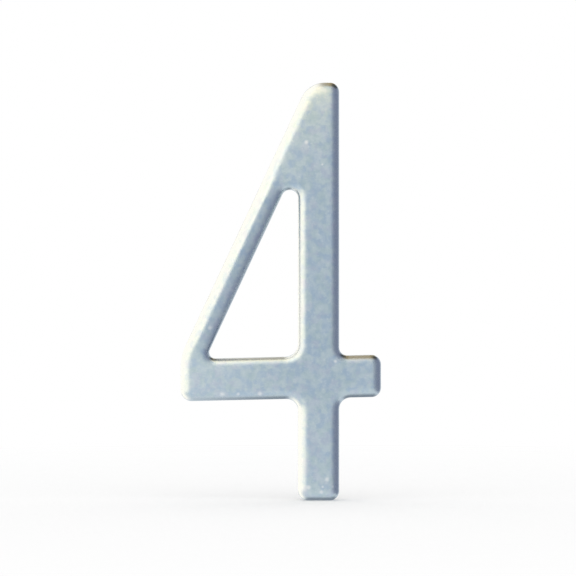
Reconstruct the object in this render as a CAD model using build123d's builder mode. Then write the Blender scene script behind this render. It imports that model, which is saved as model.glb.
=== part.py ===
import os
from math import atan2, cos, radians, tan

from build123d import *

# House number: an upright numeral four, cast in one piece and fixed from behind by two studs.
# X runs to the right as seen from the street, Z runs up and Y runs into the wall.
# The origin is on the flat back, on the stem's centreline, midway between the stud holes.
# All sizes are in millimetres and all angles in degrees.

# Whole numeral
height = 76.0
thickness = 4.0
edge_rounding = 1.6      # roll of the outline's front edges, from the face into the walls
counter_rounding = 1.3   # tighter roll round the counter, where a buffing wheel hardly reaches
back_break = 0.25        # bevel that takes the sharpness off the back edges

# Stem
stem_width = 7.5

# Crossbar, which climbs a little to the right
bar_depth = 7.65         # across the bar
bar_height = 22.4        # from the foot to the bar's middle, on the stem's centreline
bar_reach_left = 25.1    # from the stem's centreline to the left end
bar_reach_right = 11.35  # from the stem's centreline to the end of the short arm
bar_lean = 1.3

# Diagonal, from the head of the stem down to the bar's left end
diagonal_width = 4.3     # square across the stroke
head_width = 5.6         # flat top, before its corners are rounded
bend_rise = 0.6          # the bend at the left end stands this far over the bar's upper edge

# Corners of the outline, seen from the front
corner_land = 0.1        # outer corners are rounder than the front edges by this much
head_radius = 4.6        # where the top turns down into the diagonal
bend_radius = 10.0       # soft bend from the diagonal into the bar's left end
bar_end_radius = 2.0     # lower corner of the left end
crotch_above = 1.5       # inner corner over the short arm
crotch_below = 2.1       # inner corners under the bar
counter_top_radius = 1.5
counter_left_radius = 1.1
counter_right_radius = 2.4

# Two blind tapped holes for M4 studs, in the back of the stem
stud_hole = 3.3          # core diameter of the thread
stud_lead = 0.35         # bevel at each hole's mouth that leads the stud in
stud_cover = 1.2         # metal left between the hole's floor and the face
stud_inset = 10.0        # from the top, and from the foot, to the nearer hole

# Heights and edges that the outline shares
top = height / 2
foot = -top
stem_right = stem_width / 2
stem_left = -stem_right
left_end = -bar_reach_left
right_end = bar_reach_right
head_left = stem_right - head_width
bar_slope = tan(radians(bar_lean))
half_bar = bar_depth / 2 / cos(radians(bar_lean))


def bar_upper(x):
    """Height of the crossbar's upper edge at x."""
    return foot + bar_height + half_bar + x * bar_slope


def bar_lower(x):
    """Height of the crossbar's lower edge at x."""
    return foot + bar_height - half_bar + x * bar_slope


# The diagonal's outer edge runs from the head to the bend
bend = (left_end, bar_upper(left_end) + bend_rise)
diagonal_lean = atan2(head_left - left_end, top - bend[1])
diagonal_slope = tan(diagonal_lean)

# Its inner edge is parallel, one stroke further in, and closes the counter with the stem and the bar
inner_head = head_left + diagonal_width / cos(diagonal_lean)
counter_top = top - (inner_head - stem_left) / diagonal_slope
counter_left = (inner_head - (top - bar_upper(0)) * diagonal_slope) / (1 - bar_slope * diagonal_slope)

# Outline corners with their radii, clockwise from the head as seen from the front
corner_radius = edge_rounding + corner_land
outline = [
    ((head_left, top), head_radius),
    ((stem_right, top), corner_radius),
    ((stem_right, bar_upper(stem_right)), crotch_above),
    ((right_end, bar_upper(right_end)), corner_radius),
    ((right_end, bar_lower(right_end)), corner_radius),
    ((stem_right, bar_lower(stem_right)), crotch_below),
    ((stem_right, foot), corner_radius),
    ((stem_left, foot), corner_radius),
    ((stem_left, bar_lower(stem_left)), crotch_below),
    ((left_end, bar_lower(left_end)), bar_end_radius),
    (bend, bend_radius),
]
counter = [
    ((stem_left, counter_top), counter_top_radius),
    ((stem_left, bar_upper(stem_left)), counter_right_radius),
    ((counter_left, bar_upper(counter_left)), counter_left_radius),
]

# The numeral, extruded from the back towards the street
with BuildPart() as numeral_four:
    with BuildSketch(Plane.XZ):
        with BuildLine():
            FilletPolyline([point for point, _ in outline], radius=[r for _, r in outline], close=True)
        make_face()
        with BuildLine():
            FilletPolyline([point for point, _ in counter], radius=[r for _, r in counter], close=True)
        make_face(mode=Mode.SUBTRACT)
    extrude(amount=thickness)

    # Rolled front edges, first round the outline and then round the counter
    face = numeral_four.faces().sort_by(Axis.Y)[0]
    fillet(face.outer_wire().edges(), radius=edge_rounding)
    face = numeral_four.faces().sort_by(Axis.Y)[0]
    fillet(face.inner_wires()[0].edges(), radius=counter_rounding)

    back_edges = numeral_four.edges().group_by(Axis.Y)[-1]
    chamfer(back_edges, length=back_break)

    # Stud holes, drilled and countersunk from the back, one over the other on the stem's centreline
    with Locations(Plane.ZX):
        with GridLocations(height - 2 * stud_inset, 0, 2, 1):
            CounterSinkHole(
                radius=stud_hole / 2,
                counter_sink_radius=stud_hole / 2 + stud_lead,
                depth=thickness - stud_cover,
                counter_sink_angle=90,
            )

numeral_four.part.label = "numeral_four"

os.makedirs("parts", exist_ok=True)
export_step(numeral_four.part, "parts/numeral_four.step")
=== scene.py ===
from math import cos, pi, radians, sin

import bpy
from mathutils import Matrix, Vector


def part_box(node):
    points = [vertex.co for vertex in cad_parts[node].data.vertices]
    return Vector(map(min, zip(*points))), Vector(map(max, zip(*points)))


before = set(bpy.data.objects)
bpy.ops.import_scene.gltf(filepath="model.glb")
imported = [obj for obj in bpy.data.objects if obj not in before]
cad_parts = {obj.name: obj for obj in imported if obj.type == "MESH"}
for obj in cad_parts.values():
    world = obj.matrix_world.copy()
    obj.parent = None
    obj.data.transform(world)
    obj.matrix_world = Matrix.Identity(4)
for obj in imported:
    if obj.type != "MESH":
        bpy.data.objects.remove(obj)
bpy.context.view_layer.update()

# The numeral: one zinc casting under a satin chrome plate, from its face to its back.
# The face is blasted to a fine satin, the rolled edges are buffed a little brighter by hand,
# and the back, which meets the wall, keeps the skin of the casting under a thin dull plate.
mm = 0.001
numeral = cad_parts["numeral_four"]
low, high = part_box("numeral_four")
face_plane = low.y
back_plane = high.y


class Shade:
    """An output of a shader node. Arithmetic on values adds Math nodes to the same tree."""

    def __init__(self, tree, socket=None):
        self.tree = tree
        self.socket = socket

    def node(self, kind, settings=None, sockets=None, output=0):
        """Adds a node, sets its settings, then gives its sockets their values or links."""
        made = self.tree.nodes.new(kind)
        for name, value in (settings or {}).items():
            setattr(made, name, value)
        for name, value in (sockets or {}).items():
            if isinstance(value, Shade):
                self.tree.links.new(value.socket, made.inputs[name])
            else:
                made.inputs[name].default_value = value
        return Shade(self.tree, made.outputs[output] if made.outputs else None)

    def maths(self, operation, first, second=0.0):
        """A Math node on one or two values."""
        return self.node("ShaderNodeMath", {"operation": operation}, {0: first, 1: second})

    def __add__(self, other):
        return self.maths("ADD", self, other)

    def __sub__(self, other):
        return self.maths("SUBTRACT", self, other)

    def __rsub__(self, other):
        return self.maths("SUBTRACT", other, self)

    def __mul__(self, other):
        return self.maths("MULTIPLY", self, other)

    __radd__ = __add__
    __rmul__ = __mul__

    def axis(self, name):
        """One coordinate of a place."""
        return self.node("ShaderNodeSeparateXYZ", {}, {0: self}, output=name)

    def gap(self, spot):
        """Distance from a place to a fixed spot."""
        sockets = {0: self, 1: spot}
        return self.node("ShaderNodeVectorMath", {"operation": "DISTANCE"}, sockets, output="Value")

    def rise(self, start, end):
        """0 at start and 1 at end, with soft ends."""
        sockets = {"Value": self, "From Min": start, "From Max": end}
        return self.node("ShaderNodeMapRange", {"interpolation_type": "SMOOTHSTEP"}, sockets)

    def mix(self, share, first, second):
        """A colour between first and second."""
        sockets = {"Factor": share, 6: first, 7: second}
        return self.node("ShaderNodeMix", {"data_type": "RGBA"}, sockets, output=2)


def noise(place, size, detail=2.0, output=0):
    """Cloudy noise from 0 to 1, with patches of about this size. Its colour is three such noises."""
    sockets = {"Vector": place, "Scale": 1 / size, "Detail": detail}
    return place.node("ShaderNodeTexNoise", {}, sockets, output)


plate = bpy.data.materials.new("satin_chrome_plate")
plate.use_nodes = True
plate.node_tree.nodes.clear()
tree = Shade(plate.node_tree)
place = tree.node("ShaderNodeTexCoord", output="Object")
across = place.axis("X")
depth = place.axis("Y")
up = place.axis("Z")

# Finishes: buffed from just behind the face, down the rolls and walls, and dull on the back
buffed_start = 0.01
buffed_full = 0.45
dull_start = 0.12
dull_full = 0.02
edge = depth.rise(face_plane + buffed_start * mm, face_plane + buffed_full * mm)
back = depth.rise(back_plane - dull_start * mm, back_plane - dull_full * mm)

# Two tapped holes in the back, as far above mid-height as below it, each with a bevelled mouth
stud_height = 28.0
stud_radius = 1.65
stud_lead = 0.35
stud_depth = 2.8
thread_pitch = 0.7
hole_margin = 0.1
mouth_margin = 0.02
mouth_radius = stud_radius + stud_lead
hole_floor = back_plane - stud_depth * mm
from_hole = up - stud_height * mm * up.maths("SIGN", up)
hole_radius = up.maths("SQRT", across * across + from_hole * from_hole)
behind = depth.rise(hole_floor - hole_margin * mm, hole_floor - hole_margin / 2 * mm)
in_mouth = hole_radius.rise((mouth_radius + mouth_margin) * mm, (mouth_radius + mouth_margin / 2) * mm)
on_thread = hole_radius.rise((stud_radius - hole_margin) * mm, (stud_radius - hole_margin / 2) * mm)
tapped = behind * in_mouth
threaded = tapped * on_thread

# Faint patches of blue, green and lilac in the plate, a finer mottle of light and dark, and pale flecks
chrome_blue = (0.399, 0.511, 0.617, 1.0)
chrome_green = (0.426, 0.541, 0.584, 1.0)
chrome_lilac = (0.444, 0.521, 0.617, 1.0)
chrome_pale = (0.549, 0.639, 0.689, 1.0)
chrome_buffed = (0.476, 0.558, 0.626, 1.0)
# This pale serves the random flecks of the plate and also the painted glints of the marks
fleck_and_glint_pale = (0.760, 0.800, 0.830, 1.0)
patch_size = 1.8
mottle_size = 0.9
grain_size = 0.30
green_limits = (0.38, 0.62)
lilac_limits = (0.50, 0.68)
mottle_limits = (0.30, 0.75)
fleck_limits = (0.56, 0.80)
mottle_share = 0.62
fleck_share = 0.22
buffed_share = 0.75
patches = noise(place, patch_size * mm, output="Color")
greener = patches.node("ShaderNodeSeparateColor", {}, {0: patches}, output="Red")
warmer = patches.node("ShaderNodeSeparateColor", {}, {0: patches}, output="Green")
mottle = noise(place, mottle_size * mm)
grain = noise(place, grain_size * mm, detail=1.0)
colour = tree.mix(greener.rise(*green_limits), chrome_blue, chrome_green)
colour = tree.mix(warmer.rise(*lilac_limits), colour, chrome_lilac)
colour = tree.mix(mottle_share * mottle.rise(*mottle_limits), colour, chrome_pale)
colour = tree.mix(fleck_share * grain.rise(*fleck_limits), colour, fleck_and_glint_pale)
colour = tree.mix(buffed_share * edge, colour, chrome_buffed)

# Small pale marks on the face, painted glints where tiny pits in the plate catch the light: across from the
# stem's centreline, up from mid-height, and radius
glint_marks = [
    (-2.25, 27.10, 0.60),
    (1.52, -34.10, 0.60),
    (-10.65, -18.55, 0.60),
    (-19.75, -6.60, 0.60),
    (3.05, -12.70, 0.45),
    (0.48, -36.40, 0.55),
    (-14.60, -18.60, 0.45),
    (-17.55, -18.65, 0.65),
    (-1.80, -35.55, 0.60),
    (0.65, 23.05, 0.30),
    (0.72, -35.45, 0.35),
    (2.60, -35.40, 0.35),
]
mark_core = 0.1
glint_share = 0.65
painted_glints = None
for mark_across, mark_up, mark_radius in glint_marks:
    gap = place.gap((mark_across * mm, face_plane, mark_up * mm))
    dot = gap.rise(mark_radius * mm, mark_core * mark_radius * mm)
    painted_glints = dot if painted_glints is None else dot.maths("MAXIMUM", dot, painted_glints)
# The marks go into the colour as pale spots: painted glints
colour = tree.mix(painted_glints * glint_share, colour, fleck_and_glint_pale)

# The dull back, and bare metal where the holes are tapped
back_dull = (0.330, 0.365, 0.395, 1.0)
tapped_metal = (0.360, 0.360, 0.355, 1.0)
colour = tree.mix(back, colour, back_dull)
colour = tree.mix(tapped, colour, tapped_metal)

# Roughness of the three finishes, which varies with the mottle and is higher on the marks
satin_roughness = 0.33
buffed_roughness = 0.26
back_roughness = 0.48
mottle_middle = 0.5
mottle_swing = 0.12
mark_swing = 0.10
roughness = satin_roughness + (mottle - mottle_middle) * mottle_swing + painted_glints * mark_swing
roughness = roughness + edge * (buffed_roughness - satin_roughness)
roughness = roughness + back * (back_roughness - buffed_roughness)

# The narrow diagonal is buffed to a slight crown, which dies out where it meets the head and the bar
diagonal_lean = radians(25.05)
diagonal_middle = -15.95
diagonal_half_width = 2.15
crown_top = 22.0
crown_top_full = 16.0
crown_foot_full = -8.0
crown_foot = -13.0
slant = across * cos(diagonal_lean) - up * sin(diagonal_lean)
from_middle = slant.maths("ABSOLUTE", slant - diagonal_middle * mm)
crown = from_middle.rise(diagonal_half_width * mm, 0.0)
crown = crown * up.rise(crown_top * mm, crown_top_full * mm) * up.rise(crown_foot * mm, crown_foot_full * mm)

# Relief in millimetres: the waves left by buffing, the crown, the satin, the casting skin and the thread
wave_size = 6.0
skin_size = 0.45
wave_height = 0.020
crown_height = 0.28
mottle_height = 0.0018
grain_height = 0.0012
skin_height = 0.020
thread_height = 0.12
wave = noise(place, wave_size * mm, detail=0.0)
skin = noise(place, skin_size * mm, detail=3.0)
turn = from_hole.maths("ARCTAN2", from_hole, across) + depth * (2 * pi / (thread_pitch * mm))
thread = turn.maths("SINE", turn)
satin = (mottle * mottle_height + grain * grain_height) * (1 - edge)
front_relief = wave * wave_height + crown * crown_height * (1 - back) + satin
back_relief = back * skin * skin_height + threaded * thread * thread_height
relief = front_relief + back_relief

# Buffing softens the line where the face turns into the rolls
eased_radius = 1.35
eased = tree.node("ShaderNodeBevel", {"samples": 8}, {"Radius": eased_radius * mm})
bump = tree.node("ShaderNodeBump", {}, {"Distance": mm, "Height": relief, "Normal": eased})
surface = tree.node(
    "ShaderNodeBsdfPrincipled",
    {},
    {"Base Color": colour, "Metallic": 1.0, "Roughness": roughness, "Normal": bump},
)
tree.node("ShaderNodeOutputMaterial", {}, {"Surface": surface})
numeral.material_slots[0].material = plate

# The floor: a round sheet of white card under the numeral's foot, which thins out into the studio.
# It takes the soft shadow of the foot, and the metal sees the studio in its place.
floor_radius = 260 * mm
floor_middle = (0, 0, low.z)
thin_start = 78 * mm
thin_end = 247 * mm
card_white = (0.985, 0.985, 0.985, 1.0)
bpy.ops.object.select_all(action="DESELECT")
bpy.ops.mesh.primitive_circle_add(vertices=96, radius=floor_radius, fill_type="NGON", location=floor_middle)
floor = bpy.context.object
floor.name = "floor"
bpy.ops.object.transform_apply()
floor_card = bpy.data.materials.new("white_card")
floor_card.use_nodes = True
floor_card.node_tree.nodes.clear()
tree = Shade(floor_card.node_tree)
place = tree.node("ShaderNodeTexCoord", output="Object")
thin = place.gap(floor_middle).rise(thin_start, thin_end)
paper = tree.node("ShaderNodeBsdfDiffuse", {}, {"Color": card_white})
clear = tree.node("ShaderNodeBsdfTransparent")
sheet = tree.node("ShaderNodeMixShader", {}, {0: thin, 1: paper, 2: clear})
tree.node("ShaderNodeOutputMaterial", {}, {"Surface": sheet})
floor.data.materials.append(floor_card)
floor.visible_glossy = False


# Reflector cards: lit and shaded sheets hung round the numeral, as in a light tent.
# They show in the metal and nowhere else, and thin out towards some of their edges.
# Places and sizes are in millimetres, in the numeral's own frame.
def card(name, spot, facing, width, length, glow, fades):
    """A sheet that glows on its front. A fade is an axis, the place where it is clear and where solid."""
    bpy.ops.object.select_all(action="DESELECT")
    bpy.ops.mesh.primitive_plane_add(size=1)
    hung = bpy.context.object
    hung.name = name
    hung.scale = (width * mm, length * mm, 1)
    hung.rotation_euler = Vector(facing).to_track_quat("Z", "Y").to_euler()
    hung.location = Vector(spot) * mm
    bpy.ops.object.transform_apply()
    lit = bpy.data.materials.new(name)
    lit.use_nodes = True
    lit.node_tree.nodes.clear()
    tree = Shade(lit.node_tree)
    place = tree.node("ShaderNodeTexCoord", output="Object")
    cover = 1 - tree.node("ShaderNodeNewGeometry", output="Backfacing")
    for axis, clear_at, solid_at in fades:
        cover = cover * place.axis(axis).rise(clear_at * mm, solid_at * mm)
    clear = tree.node("ShaderNodeBsdfTransparent")
    shine = tree.node("ShaderNodeEmission", {}, {"Color": (*glow, 1.0), "Strength": 1.0})
    sheet = tree.node("ShaderNodeMixShader", {}, {0: cover, 1: clear, 2: shine})
    tree.node("ShaderNodeOutputMaterial", {}, {"Surface": sheet})
    lit.cycles.emission_sampling = "NONE"
    hung.data.materials.append(lit)
    hung.visible_camera = False
    hung.visible_diffuse = False
    hung.visible_shadow = False


# Lit cards: the bright bands on the left edges, the head and the floor of the counter
warm_glow = (2.14, 1.80, 1.46)
front_glow = (2.50, 2.12, 1.70)
top_glow = (2.10, 1.72, 1.20)
counter_glow = (2.60, 2.10, 1.30)
left_fades = [("Y", -1300, -620), ("Z", -160, -70)]
top_left_fades = [("X", -20, -75)]
front_fades = [("X", -9, -22)]
low_left_fades = [("Y", -250, 50), ("X", -60, -260)]
top_fades = [("Z", 34, 39), ("Z", 56, 40), ("X", -40, 0), ("X", 16, -4)]
counter_fades = [("X", -22, -14), ("X", 0, -8), ("Y", -12, -22), ("Y", -80, -70)]
card("left_softbox", (-270, -400, 90), (1, 0, 0), 1800, 620, warm_glow, left_fades)
card("top_left_softbox", (-145, 0, 400), (0, 0, -1), 250, 1000, warm_glow, top_left_fades)
card("front_softbox", (-32, -95, 58), (0, 0.8, -0.6), 64, 64, front_glow, front_fades)
card("low_left_softbox", (-240, 100, -280), (0.707, 0, 0.707), 520, 700, warm_glow, low_left_fades)
card("top_softbox", (0, -23, 46), (0, 0.94, -0.34), 120, 24, top_glow, top_fades)
card("counter_softbox", (-11, -46, 75), (0, 0, -1), 22, 68, counter_glow, counter_fades)

# Shaded cards: the dark lines on the right, upper and lower edges, and the soft shade of the lens
slate_shade = (0.36, 0.37, 0.46)
dark_shade = (0.08, 0.08, 0.07)
brown_shade = (0.66, 0.46, 0.22)
grey_shade = (0.38, 0.40, 0.43)
lens_shade = (0.41, 0.51, 0.63)
right_fades = [("Y", -700, -10), ("Y", 200, 40)]
corner_fades = [("Y", -60, 0), ("X", 20, 60)]
upper_fades = [("Y", -140, -50), ("X", -80, 30)]
lower_fades = [("Y", -32, 4), ("X", -28, -6), ("X", 75, 38)]
lens_fades = [("X", -20, 1), ("X", 19, 1), ("Z", -66, -12), ("Z", 68, 34)]
card("right_flag", (135, -250, 95), (-1, 0, 0), 900, 410, slate_shade, right_fades)
card("corner_flag", (90, 60, 150), (-0.6, 0, -0.8), 240, 130, dark_shade, corner_fades)
card("top_flag", (35, 200, 250), (0, 0, -1), 230, 700, brown_shade, upper_fades)
card("low_flag", (40, 90, -100), (0, 0, 1), 160, 260, grey_shade, lower_fades)
card("lens_shade", (3, -95, 0), (0, 1, 0), 120, 150, lens_shade, lens_fades)

# World: the white studio round the numeral, which lights it evenly from all sides.
# Its strength of one is plain white, so a colour renders about as it is written.
studio = bpy.data.worlds.new("white_studio")
bpy.context.scene.world = studio
studio.use_nodes = True
studio.node_tree.nodes.clear()
tree = Shade(studio.node_tree)
sky = tree.node("ShaderNodeBackground", {}, {"Color": (1, 1, 1, 1), "Strength": 1.0})
tree.node("ShaderNodeOutputWorld", {}, {"Surface": sky})

# Camera: square on to the face with a long lens, framed as in the photograph.
# The stem's centreline and mid-height fall where they do there, and the scale holds
# in the plane where the rolled edges end, which is where the outline is seen.
picture_width = 576
numeral_pixels = 417.6
stem_pixel = 318.6
middle_pixel = 291.5
lens = 200.0
sensor = 36.0
nearest = 10.0
edge_roll = 1.6
pixel = (high.z - low.z) / numeral_pixels
aim_across = (picture_width / 2 - stem_pixel) * pixel
aim_up = (middle_pixel - picture_width / 2) * pixel
edge_plane = face_plane + edge_roll * mm
stand_back = picture_width * pixel * lens / sensor
bpy.ops.object.camera_add(location=(aim_across, edge_plane - stand_back, aim_up), rotation=(pi / 2, 0, 0))
camera = bpy.context.object
camera.data.lens = lens
camera.data.sensor_width = sensor
camera.data.clip_start = nearest * mm
bpy.context.scene.camera = camera
bpy.context.scene.view_settings.view_transform = "Standard"
